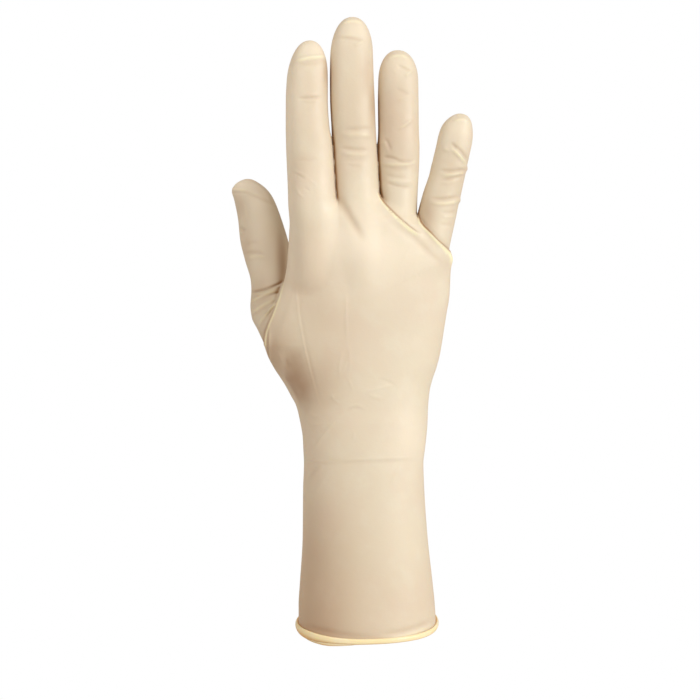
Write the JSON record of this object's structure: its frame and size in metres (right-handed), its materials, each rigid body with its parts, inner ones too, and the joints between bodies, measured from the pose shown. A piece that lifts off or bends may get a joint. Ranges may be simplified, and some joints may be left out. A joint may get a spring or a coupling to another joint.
{
  "type": "surgical glove",
  "caption": "Thin rubber surgical glove in its worn form, with finger stalls, a thumb stall, a long sleeve and a rolled cuff, that keeps the wearer's hand apart from a patient.",
  "frame": {"origin": "centre of the cuff's mouth, where the wearer's forearm goes in", "axes": "+Z from the cuff to the fingertips, -Y out of the back of the hand, -X towards the thumb"},
  "size_m": [0.1108, 0.0658, 0.2882],
  "materials": {
    "latex_film": "satin cream film, slightly see-through",
    "cuff_roll": "satin, yellower where the film is rolled up on itself"
  },
  "bodies": {
    "root": {"glove_film": "latex_film", "rolled_cuff": "cuff_roll"}
  },
  "joints": []
}
